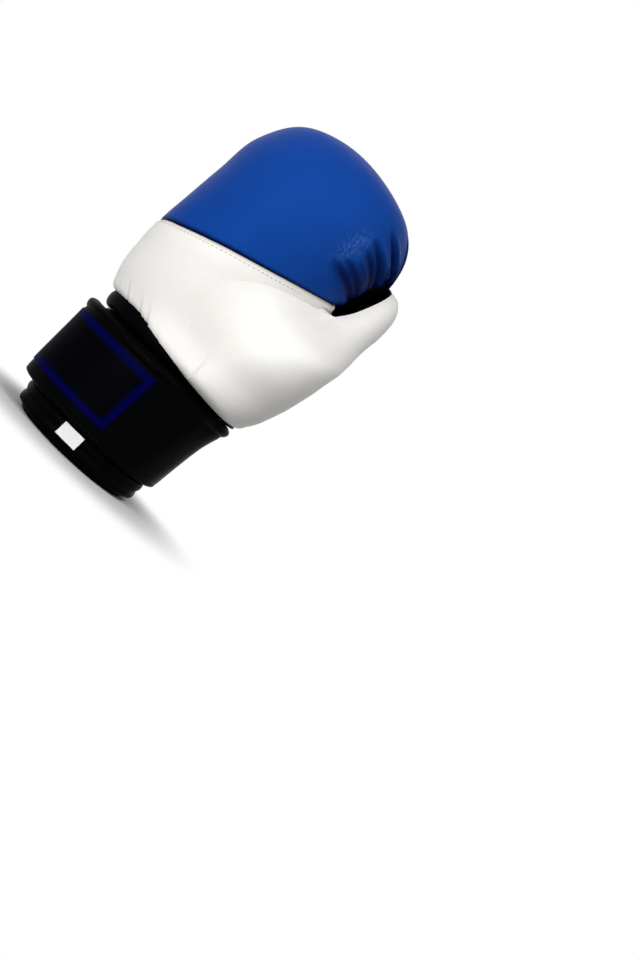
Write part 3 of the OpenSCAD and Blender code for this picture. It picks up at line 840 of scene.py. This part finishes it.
def cuff_rolls(z):
    """How far the cuff's face stands out: two soft rolls, then the plain face under the strap."""
    wave = np.abs(np.sin(math.pi * (z - HEM_H) / ROLL_H))
    return np.where(z < ROLL_TOP, 2.9 + 1.1 * wave**0.8, 0)


def cuff_place(z, v):
    """Face of the cuff's leather, turned in at the slit and at both ends. The rolls sway."""
    edge = to_edge(v, SKIN_FROM, SKIN_TO) * CUFF_PER_DEGREE
    sway = 0.35 * sin_deg(v * 5 + 40 + z * 9) + 0.2 * sin_deg(v * 11 - z * 14)
    ends = turn_in(to_edge(z, SKIN_LOW, SKIN_HIGH), SKIN_END)
    out = cuff_rolls(z) + np.where(z < ROLL_TOP, sway, 0)
    return cuff(z, v, out - turn_in(edge, SKIN_TURN) - ends)


half_wave = (1 - cos_deg(np.linspace(6, 174, 17))) / 2
roll_rows = HEM_H + ROLL_H * np.concatenate([half_wave, 1 + half_wave])
cuff_rows = np.concatenate([[SKIN_LOW, 3.4, 3.7], roll_rows[1:],
                            np.linspace(ROLL_TOP + 0.4, 76.4, 16), [77, 77.4, 77.7, SKIN_HIGH]])
slit_steps = np.array([0, 0.3, 0.8, 1.6])
cuff_cols = np.concatenate([SKIN_FROM + slit_steps, np.linspace(SKIN_FROM + 3, SKIN_TO - 3, 190),
                            (SKIN_TO - slit_steps)[::-1]])
cuff_skin = close_up(lay_grid("cuff_skin", cuff_rows, cuff_cols, cuff_place), middle=CUFF_MIDDLE)
thicken(cuff_skin, SKIN_WALL)
finish_piece(cuff_skin, black_leather, "glove", "black_leather", "cuff_cover", "cuff_foam",
             fill=0.6)

# %% [markdown]
# ## Wrist roll and rim binding
# Above the strap a round black roll closes the gap to the hand, and a narrow binding finishes the
# rim. A torus would do for a round cuff. This one is oval and the roll is fuller beside the
# thumb, so both are closed loops that are carried round the oval.

# %% Wrist roll and rim binding
WRIST_LOW, WRIST_HIGH = 78.0, 90.5
WRIST_INSIDE, WRIST_OUT, WRIST_BLUNT = -10.8, 4.0, 0.22
BINDING_MID, BINDING_HALF, BINDING_BLUNT = -6.0, 5.0, 0.35


def thumb_side(v):
    """One on the thumb's side of the wrist, where the padding swells out, and zero elsewhere."""
    return ease(cos_deg(v - 8), 0.84, 0.98)


def roll_place(turn, v):
    """Closed loop of the wrist roll: its outer half is round, its inner side lies on the lining.
    It hangs lower and fuller on the thumb's side."""
    near = thumb_side(v)
    low = WRIST_LOW - 0.8 * near
    z = (low + WRIST_HIGH) / 2 - (WRIST_HIGH - low) / 2 * cos_deg(turn)
    full = WRIST_OUT + 5 * ease(cos_deg(v), 0.3, 1) - WRIST_INSIDE
    full += 2.6 * near * bell(z - WRIST_LOW, 2.4)
    round_off = np.abs(sin_deg(turn)) ** (WRIST_BLUNT * (1 - 0.55 * near))
    outer = full * round_off + 0.15 * sin_deg(v * 7)
    return cuff(z, v, WRIST_INSIDE + np.where(turn <= 180, outer, 0))


def binding_place(turn, v):
    """Binding of the rim: flat below, rounded at its outer and inner edges."""
    side, rise = cos_deg(turn), sin_deg(turn)
    across = BINDING_MID + BINDING_HALF * np.sign(side) * np.abs(side) ** BINDING_BLUNT
    z = HEM_H / 2 * (1 + np.sign(rise) * np.abs(rise) ** BINDING_BLUNT)
    return cuff(z, v, across)


round_cuff = np.linspace(0, 360, CUFF_COLS)
roll_turns = np.concatenate([np.linspace(0, 180, 25), np.linspace(180, 360, 9)[1:]])
wrist_roll = close_up(lay_grid("wrist_roll", roll_turns, round_cuff, roll_place))
finish_piece(wrist_roll, black_leather, "glove", "black_leather", "wrist_band", fill=0.7)
rim_binding = close_up(lay_grid("rim_binding", np.linspace(0, 360, 41), round_cuff, binding_place))
finish_piece(rim_binding, black_leather, "glove", "black_leather", "cuff_hem")

# %% [markdown]
# ## Inside the glove
# A dark woven lining runs from the rim to the finger tips, and a padded bar across the palm gives
# the closed fingers something to hold. Little of them shows, so a plain sheet on the face of the
# pocket and a plain tube are enough.

# %% Lining and grip bar
LINING_LOW, LINING_L, LINING_OUT, LINING_WALL = 3.2, 82.6, -10.2, 0.9
POCKET_MIDDLE, LINING_SHRINK = np.array([CROWN_X, 8.0, 140.0]), 0.995
BAR_ROW, BAR_MID, BAR_SPAN, BAR_ROUND = 0.72, 90.0, 40.0, 8.0
BAR_OFF, BAR_RADIUS = 7.4, 5.9


def lining_place(s, v):
    """Lining: up the cuff for s below 1, then along the pocket to its crown at 3."""
    low = cuff(LINING_LOW + np.clip(s, 0, 1) * LINING_L, v, LINING_OUT)
    deep = pocket(np.clip(s - 1, 0, 2), v)
    deep = POCKET_MIDDLE + (deep - POCKET_MIDDLE) * LINING_SHRINK
    blend = ease(s, 0.92, 1.08)[:, None]
    return low * (1 - blend) + deep * blend


def bar_place(v, turn):
    """Tube along the crease of the palm, rounded off at both ends."""
    u = BAR_ROW + 0 * v
    wall = pocket(u, v)
    inward = unit(wall - fist(u, v))
    side = unit(np.cross(inward, np.stack([-sin_deg(v), cos_deg(v), 0 * v], 1)))
    past = np.clip(np.abs(v - BAR_MID) - (BAR_SPAN - BAR_ROUND), 0, BAR_ROUND) / BAR_ROUND
    radius, turn = BAR_RADIUS * dome(past)[:, None], turn[:, None]
    return wall + inward * BAR_OFF + radius * (inward * cos_deg(turn) + side * sin_deg(turn))


lining = close_up(lay_grid("lining", np.linspace(0, 3, 76), np.linspace(0, 360, 120), lining_place),
                  middle=FIST_MIDDLE)
thicken(lining, LINING_WALL)
finish_piece(lining, lining_cloth, "glove", "lining", "hand_lining", "cuff_lining", fill=0.2)
bar_v = BAR_MID + BAR_SPAN * sin_deg(np.linspace(-90, 90, 41))
grip_bar_cover = close_up(lay_grid("grip_bar_cover", bar_v, np.linspace(0, 360, 25), bar_place))
finish_piece(grip_bar_cover, lining_cloth, "glove", "lining", "grip_bar", fill=0.8)


# %% [markdown]
# ## Flat pieces on the cuff
# An elastic panel closes the slit, a patch of loop tape waits for the strap, and a sewn tab holds
# the strap's other end. Each is a thin slab with rounded edges. A cube could be bent round the
# cuff. Two grids, one for each face, follow the oval more closely and meet in the rounded edge.


# %% Slabs
def slab_steps(low, high, edge, count):
    """Steps from low to high, close together at both rounded edges."""
    near = edge * (1 - cos_deg(np.linspace(0, 90, 7)))
    middle = np.linspace(low + edge, high - edge, count)[1:-1]
    return np.concatenate([low + near, middle, (high - near)[::-1]])


def cuff_slab(name, rows, cols, low, high, edge):
    """A closed band on the cuff between the heights low and high, with rounded edges."""
    halves = []
    for sign in (1, -1):
        def place(z, v):
            top = high(z, v) if callable(high) else high + 0 * z
            near = np.minimum(to_edge(z, rows[0], rows[-1]),
                              to_edge(v, cols[0], cols[-1]) * CUFF_PER_DEGREE)
            half = (top - low) / 2 * dome(1 - np.clip(near / edge, 0, 1))
            return cuff(z, v, low + (top - low) / 2 + sign * half)
        halves.append(lay_grid(name, rows, cols, place))
    bpy.ops.object.select_all(action="DESELECT")
    for half in halves:
        half.select_set(True)
    bpy.context.view_layer.objects.active = halves[0]
    bpy.ops.object.join()
    return close_up(halves[0])


# %% Elastic panel, loop tape and sewn tab
def elastic_ribs(z, v):
    """Height of the elastic's face, with a rib every two degrees."""
    return -7.9 + 0.3 * cos_deg((v - 90) * 180)


TAPE_LOW, TAPE_HIGH = 25.0, 69.0
STRAP_END, STRAP_BEND = -165.0, -62.0
tape_rows = slab_steps(TAPE_LOW, TAPE_HIGH, 0.5, 20)
elastic_panel = cuff_slab("elastic_panel", slab_steps(3.4, 77.6, 0.9, 30),
                          slab_steps(82.4, 97.6, 1.2, 14), -9.6, elastic_ribs, 0.9)
finish_piece(elastic_panel, elastic_cloth, "glove", "elastic", "elastic_gusset")
loop_patch = cuff_slab("loop_patch", tape_rows, slab_steps(STRAP_END, STRAP_BEND, 0.7, 70),
                       0.1, 1.3, 0.5)
finish_piece(loop_patch, tape_nap, "glove", "tape", "loop_tape")
anchor_tab = cuff_slab("anchor_tab", tape_rows, slab_steps(81, 103, 0.7, 20), 0.1, 1.4, 0.5)
finish_piece(anchor_tab, black_leather, "glove", "black_leather", "strap_anchor")

# %% [markdown]
# ## The strap
# The strap is one padded band that starts beside the slit, runs round the thumb's side and closes
# on the back of the wrist. Its upper edge is a soft roll with a sewn groove below it, its lower
# edge is flatter, and it grows thicker towards its closing end. It bends in front of that end.
# Two rigid halves would part there, so the strap is one piece and is hung on neither body here.

# %% Form of the strap
STRAP_LOW, STRAP_HIGH, STRAP_ROOT = 17.0, 77.0, 105.0
STRAP_FLOOR, STRAP_TOP, STRAP_EDGE = 2.0, 7.2, 4.0
HIGH_GROOVE, LOW_GROOVE = 7.5, 3.1
BADGE_LOW, BADGE_HIGH, BADGE_FROM, BADGE_TO = 25.6, 68.4, -157.0, -74.0
BADGE_FLOOR, BADGE_TOP, BADGE_EDGE = 6.9, 8.3, 1.0


def strap_tip(z, v):
    """How much thicker the strap grows towards its closing end, most at its lower corner."""
    lower = ease(STRAP_HIGH - z, 0, STRAP_HIGH - STRAP_LOW)
    return (2.8 + 2 * lower) * ease(-v, 105, 160)


def strap_top(z, v):
    """Height of the strap's face: a rolled upper edge with a sewn groove below it, a flatter lower
    edge, and a swelling on the thumb's side."""
    high = STRAP_HIGH - z
    low = np.minimum(z - STRAP_LOW, np.where(v < STRAP_BEND, (v - STRAP_END) * 0.8, 99))
    rolled = 1.3 * np.clip(np.sin(math.pi * np.clip(high / 7.2, 0, 1)), 0, 1) ** 0.7
    rolled -= 0.5 * bell(high - HIGH_GROOVE, 0.8)
    flat = 0.5 * np.clip(np.sin(math.pi * np.clip(low / 3, 0, 1)), 0, 1)
    flat -= 0.4 * bell(low - LOW_GROOVE, 0.6)
    sway = 0.2 * sin_deg(v * 6 + z * 2) + 0.12 * sin_deg(v * 13 - z * 4)
    swell = 3.4 * thumb_side(v) * bell(high, 14)
    return STRAP_TOP + rolled + flat + sway + swell + strap_tip(z, v)


def badge_top(z, v):
    """Height of the badge's face, which follows the strap."""
    return BADGE_TOP + strap_tip(z, v)


# %% Strap with its hook tape and badge
strap_pad = cuff_slab("strap_pad", slab_steps(STRAP_LOW, STRAP_HIGH, STRAP_EDGE, 80),
                      slab_steps(STRAP_END, STRAP_ROOT, 5.0, 250), STRAP_FLOOR, strap_top,
                      STRAP_EDGE)
finish_piece(strap_pad, black_leather, None, "black_leather", "strap_wrap_cover", "strap_wrap_core",
             "strap_wrap_lining", "strap_end_cover", "strap_end_core", fill=0.7)
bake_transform(strap_pad)
hook_patch = cuff_slab("hook_patch", slab_steps(23, 71, 0.4, 20), slab_steps(-160, -66, 0.6, 60),
                       1.65, 2.15, 0.4)
finish_piece(hook_patch, tape_nap, "strap_end", "tape", "hook_tape")
badge = cuff_slab("badge", slab_steps(BADGE_LOW, BADGE_HIGH, BADGE_EDGE, 46),
                  slab_steps(BADGE_FROM, BADGE_TO, 1.3, 100), BADGE_FLOOR, badge_top, BADGE_EDGE)

# %% [markdown]
# ## The badge's frame
# The badge on the strap's end is dark and plain, with a blue frame. The frame could be a piece of
# its own. On the glove it is only colour, so each point of the badge keeps how near it lies to
# the frame, and the finish turns that into colour.

# %% Badge finish
FRAME_IN, BADGE_PER_DEGREE = 2.6, 0.85


def border_mark(piece):
    """Keep for each point of the badge how near the middle of its frame it lies."""
    co = np.empty(len(piece.data.vertices) * 3)
    piece.data.vertices.foreach_get("co", co)
    x, y, z = co.reshape(-1, 3).T / MM
    mid_x, mid_y, half_x, half_y = cuff_oval(z)
    v = np.degrees(np.arctan2((y - mid_y) / half_y, (x - mid_x) / half_x))
    near = np.minimum(to_edge(z, BADGE_LOW, BADGE_HIGH),
                      to_edge(v, BADGE_FROM, BADGE_TO) * BADGE_PER_DEGREE)
    point_mark(piece, "border", bell(near - FRAME_IN, FRAME_IN))


border_mark(badge)
badge_leather, nodes, links, skin = new_finish("badge_leather")
border = add_mark(nodes, "border")
glow = ramp(nodes, (0.0006, 0.0007, 0.0018), (0.0006, 0.0008, 0.05), (0.1, 1.0))
spot = nodes.new("ShaderNodeTexCoord")
grain = add(nodes, "TexVoronoi", Scale=1300.0)
relief = add(nodes, "Bump", Strength=0.2, Distance=0.0002)
wire(links, (border, "Fac", glow, "Fac"), (glow, "Color", skin, "Base Color"),
     (spot, "Object", grain, "Vector"), (grain, "Distance", relief, "Height"),
     (relief, "Normal", skin, "Normal"))
skin.inputs["Roughness"].default_value = 0.36
skin.inputs["Specular IOR Level"].default_value = 0.008
finish_piece(badge, badge_leather, "strap_end", "badge_leather", "strap_badge")

# %% [markdown]
# ## The size tag
# A small woven tag is sewn to the rolls below the strap by its upper edge, and flaps when it is
# touched. A cube at the tag's size is cut into strips, and its free end then curls out a little.
# The tag is too small to be worth a cloth simulation.

# %% Woven tag
TAG_CURL, TAG_WAVE, TAG_RIPPLE = 0.0012, 0.0002, 700
bpy.ops.object.select_all(action="DESELECT")
tag_low, tag_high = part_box("size_tag")
tag_mid = [(a + b) / 2 for a, b in zip(tag_low, tag_high)]
bpy.ops.mesh.primitive_cube_add(size=1, location=tag_mid)
woven_tag = bpy.context.object
woven_tag.name = woven_tag.data.name = "woven_tag"
woven_tag.scale = [b - a for a, b in zip(tag_low, tag_high)]
bpy.ops.object.transform_apply(location=True, rotation=True, scale=True)
bpy.ops.object.mode_set(mode="EDIT")
bpy.ops.mesh.select_all(action="SELECT")
bpy.ops.mesh.subdivide(number_cuts=11)
bpy.ops.object.mode_set(mode="OBJECT")
for vertex in woven_tag.data.vertices:
    drop = (tag_high[2] - vertex.co.z) / (tag_high[2] - tag_low[2])
    vertex.co.y -= TAG_CURL * drop**2 + TAG_WAVE * math.sin(vertex.co.x * TAG_RIPPLE)
close_up(woven_tag)
bpy.ops.object.shade_smooth_by_angle(angle=math.radians(40))
finish_piece(woven_tag, tag_cloth, "tag", "tag_cloth", "size_tag")

# %% [markdown]
# ## Stitches
# Rows of thread hold the panels together. One stitch is a small stretched sphere, and it is
# copied along a line on the leather at the length of a real stitch. A modifier could repeat it
# along a curve. Copies set down one by one stay whole and lie flat on the leather.

# %% Stitch rows
bpy.ops.object.select_all(action="DESELECT")
bpy.ops.mesh.primitive_uv_sphere_add(segments=6, ring_count=4, radius=0.5)
pattern = bpy.context.object
stitch_points = np.array([v.co[:] for v in pattern.data.vertices])
stitch_faces = [list(f.vertices) for f in pattern.data.polygons]
bpy.data.objects.remove(pattern)


def stitch_row(name, path, normal, finish, body, slot, length=2.3, pitch=3.1, thick=0.55):
    """Copies of one stitch along a path, flat on the face that the normals give."""
    walk = np.concatenate([[0], np.cumsum(np.linalg.norm(np.diff(path, axis=0), axis=1))])
    count = int(walk[-1] // pitch)
    places = (np.arange(count) + 0.5) * walk[-1] / count

    def at(places, line):
        return np.stack([np.interp(places, walk, line[:, k]) for k in range(3)], 1)

    middle, up = at(places, path), at(places, normal)
    ahead = unit(at(places + 0.5, path) - at(places - 0.5, path))
    side = unit(np.cross(up, ahead))
    up = np.cross(ahead, side)
    points, faces = [], []
    for k in range(count):
        turn = np.stack([ahead[k] * length, side[k] * thick, up[k] * thick], 0)
        points.append(middle[k] + stitch_points @ turn)
        faces += [[i + k * len(stitch_points) for i in f] for f in stitch_faces]
    mesh = bpy.data.meshes.new(name)
    mesh.from_pydata((np.concatenate(points) * MM).tolist(), [], faces)
    row = bpy.data.objects.new(name, mesh)
    bpy.context.scene.collection.objects.link(row)
    close_up(row, 0.001)
    finish_piece(row, finish, body, slot)


def strap_line(z, v):
    """A line on the strap's face, just above it, with its normals."""
    z = z + 0 * v
    point = cuff(z, v, strap_top(z, v) + 0.1)
    mid_x, mid_y, _, _ = cuff_oval(z)
    return point, unit(point - np.stack([mid_x, mid_y, z], 1))


seam_v = np.linspace(158, 336, 400)
per_row = measure(fist, 0 * seam_v + 0.97, seam_v, FIST_MIDDLE)[2]
point, up, _, _ = measure(fist, 1 - 2.7 / per_row, seam_v, FIST_MIDDLE)
stitch_row("seam_stitches", point + up * 0.25, up, pale_thread, "glove", "white_leather",
           2.0, 2.9, 0.45)
wrap_v, end_v = np.linspace(-58, 100, 300), np.linspace(-158, -66, 180)
for label, z in (("low", STRAP_LOW + LOW_GROOVE), ("high", STRAP_HIGH - HIGH_GROOVE)):
    for name, body, v in (("strap", "strap_wrap", wrap_v), ("tip", "strap_end", end_v)):
        stitch_row(f"{name}_stitches_{label}", *strap_line(z, v), dark_thread, body,
                   "black_leather")

# %% [markdown]
# ## Studio
# The glove stands on its rim on a pale floor. Away from the glove the floor turns into plain
# white for the camera, so no edge shows. A white floor would light the glove from below, so this
# one throws back less light than it shows, and the glove's sides keep their shade.

# %% Floor
FLOOR_RADIUS, FLOOR_BOUNCE, FLOOR_SHOWN = 12, 0.5, 0.93
FADE_FROM, FADE_TO = 0.05, 0.11
WHITE = (1, 1, 1, 1)


def add_shown(nodes, links):
    """Add a value that is 1 for rays that show the background: camera, glossy, transmission."""
    ray = nodes.new("ShaderNodeLightPath")
    first, second = add_math(nodes, "MAXIMUM"), add_math(nodes, "MAXIMUM")
    wire(links, (ray, "Is Camera Ray", first, 0), (ray, "Is Glossy Ray", first, 1),
         (first, "Value", second, 0), (ray, "Is Transmission Ray", second, 1))
    return second


def grey(level):
    """A grey colour."""
    return (level, level, level, 1)


bpy.ops.object.select_all(action="DESELECT")
bpy.ops.mesh.primitive_circle_add(vertices=96, radius=FLOOR_RADIUS, fill_type="NGON")
floor = bpy.context.object
floor.name = "floor"
floor_paint = bpy.data.materials.new("floor_paint")
floor_paint.use_nodes = True
nodes, links = floor_paint.node_tree.nodes, floor_paint.node_tree.links
nodes.clear()
spot = nodes.new("ShaderNodeTexCoord")
away = nodes.new("ShaderNodeVectorMath")
away.operation = "LENGTH"
fade = add(nodes, "MapRange", From_Min=FADE_FROM, From_Max=FADE_TO)
fade.interpolation_type = "SMOOTHSTEP"
shown, amount = add_shown(nodes, links), add_math(nodes, "MULTIPLY")
paint = add(nodes, "MixRGB", Color1=grey(FLOOR_BOUNCE), Color2=grey(FLOOR_SHOWN))
matt = nodes.new("ShaderNodeBsdfDiffuse")
plain = add(nodes, "Emission", Color=WHITE, Strength=1.0)
mix = nodes.new("ShaderNodeMixShader")
out = nodes.new("ShaderNodeOutputMaterial")
wire(links, (spot, "Object", away, 0), (away, "Value", fade, "Value"),
     (fade, "Result", amount, 0), (shown, "Value", amount, 1), (amount, "Value", mix, "Fac"),
     (shown, "Value", paint, "Fac"), (paint, "Color", matt, "Color"), (matt, "BSDF", mix, 1),
     (plain, "Emission", mix, 2), (mix, "Shader", out, "Surface"))
floor.data.materials.append(floor_paint)
print("floor of radius", FLOOR_RADIUS, "m")

# %% World
ROOM_LIGHT = 0.22
world = bpy.data.worlds.new("studio")
bpy.context.scene.world = world
world.use_nodes = True
nodes, links = world.node_tree.nodes, world.node_tree.links
nodes.clear()
shown = add_shown(nodes, links)
room = add(nodes, "Background", Color=WHITE, Strength=ROOM_LIGHT)
white = add(nodes, "Background", Color=WHITE, Strength=1.0)
mix = nodes.new("ShaderNodeMixShader")
out = nodes.new("ShaderNodeOutputWorld")
wire(links, (shown, "Value", mix, "Fac"), (room, "Background", mix, 1),
     (white, "Background", mix, 2), (mix, "Shader", out, "Surface"))
print("room light", ROOM_LIGHT)

# %% [markdown]
# ## The lamps
# A large soft lamp lights the back of the hand from the little finger's side. A weaker one stands
# higher on the thumb's side, and a small one above lights the crown. One lamp alone would leave
# the blue leather flat, and a sun would give shadows with hard edges.

# %% Lamps
TARGET = Vector((0, 0, 0.125))


def lamp(name, place, size, power):
    """A square soft lamp that looks at the glove."""
    bpy.ops.object.light_add(type="AREA", location=place)
    light = bpy.context.object
    light.name = name
    light.data.size = size
    light.data.energy = power
    light.rotation_euler = (TARGET - Vector(place)).to_track_quat("-Z", "Y").to_euler()
    print(name, power, "W")


lamp("key_lamp", (-0.5, -1.45, 0.4), 0.9, 17.6)
lamp("fill_lamp", (0.4, -1.0, 1.0), 0.7, 3.2)
lamp("crown_lamp", (0.5, -0.6, 1.1), 0.35, 2.6)

# %% [markdown]
# ## The camera
# The picture looks at the back of the hand, a little from the thumb's side and from just below
# the middle. The glove leans to the right in it, so the camera is turned by an eighth of a turn,
# and the glove stands above and left of the picture's middle.

# %% Camera
AZIMUTH, ELEVATION, ROLL = math.radians(12), math.radians(-3), math.radians(45)
PICTURE_W, PICTURE_H = 640, 960
GLOVE_X, GLOVE_Y, FOCAL = 215.2, 303.6, 1137.0
DISTANCE, SENSOR = 0.7, 36
back = Vector((math.sin(AZIMUTH) * math.cos(ELEVATION), -math.cos(AZIMUTH) * math.cos(ELEVATION),
               math.sin(ELEVATION)))
right = Vector((math.cos(AZIMUTH), math.sin(AZIMUTH), 0))
upward = back.cross(right)
turned_right = right * math.cos(ROLL) + upward * math.sin(ROLL)
turned_up = upward * math.cos(ROLL) - right * math.sin(ROLL)
aim = Vector((GLOVE_X - PICTURE_W / 2, PICTURE_H / 2 - GLOVE_Y, -FOCAL)).normalized()
look = Matrix((turned_right, turned_up, back)).transposed()
swing = Vector((0, 0, -1)).rotation_difference(aim).to_matrix()
bpy.ops.object.camera_add(location=TARGET + back * DISTANCE)
camera = bpy.context.object
camera.rotation_euler = (look @ swing.inverted()).to_euler()
camera.data.sensor_width = SENSOR
camera.data.lens = FOCAL * SENSOR / PICTURE_H
camera.data.dof.use_dof = False
bpy.context.scene.camera = camera
bpy.context.scene.view_settings.view_transform = "Standard"
print("camera at", [round(c, 3) for c in camera.location])

# %% Update the scene
bpy.context.view_layer.update()
